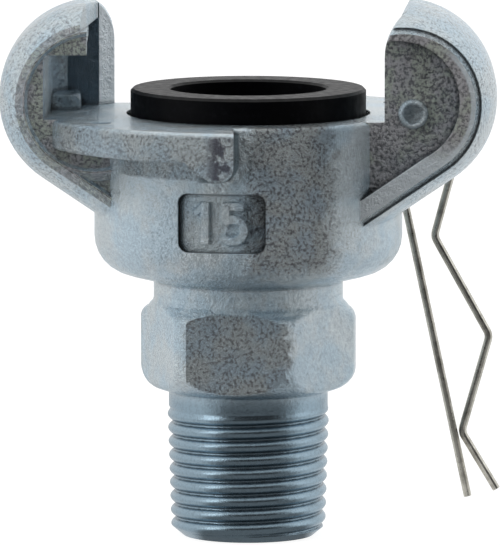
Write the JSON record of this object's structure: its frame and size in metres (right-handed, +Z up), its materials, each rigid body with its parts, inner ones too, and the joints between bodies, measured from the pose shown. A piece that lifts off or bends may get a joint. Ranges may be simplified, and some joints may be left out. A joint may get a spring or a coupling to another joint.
{
  "type": "claw hose coupling",
  "caption": "Quick air hose coupling half with two opposed claws, cam ledges, wrench hexagon, taper pipe end, rubber face washer and a hanging hairpin clip.",
  "frame": {"origin": "on the waterway's axis, in the plane of the pipe end", "axes": "+Z up the axis from the pipe end to the claws, +X towards the claw that carries the clip, +Y towards the side that this claw is open to"},
  "size_m": [0.0658, 0.0538, 0.0703],
  "materials": {
    "zinc_plate": "bright clear zinc plate over a rough casting",
    "washer_rubber": "moulded black rubber",
    "spring_wire": "drawn spring wire"
  },
  "bodies": {
    "root": {"coupling_body": "zinc_plate", "face_washer": "washer_rubber", "safety_clip": "spring_wire"}
  },
  "joints": []
}
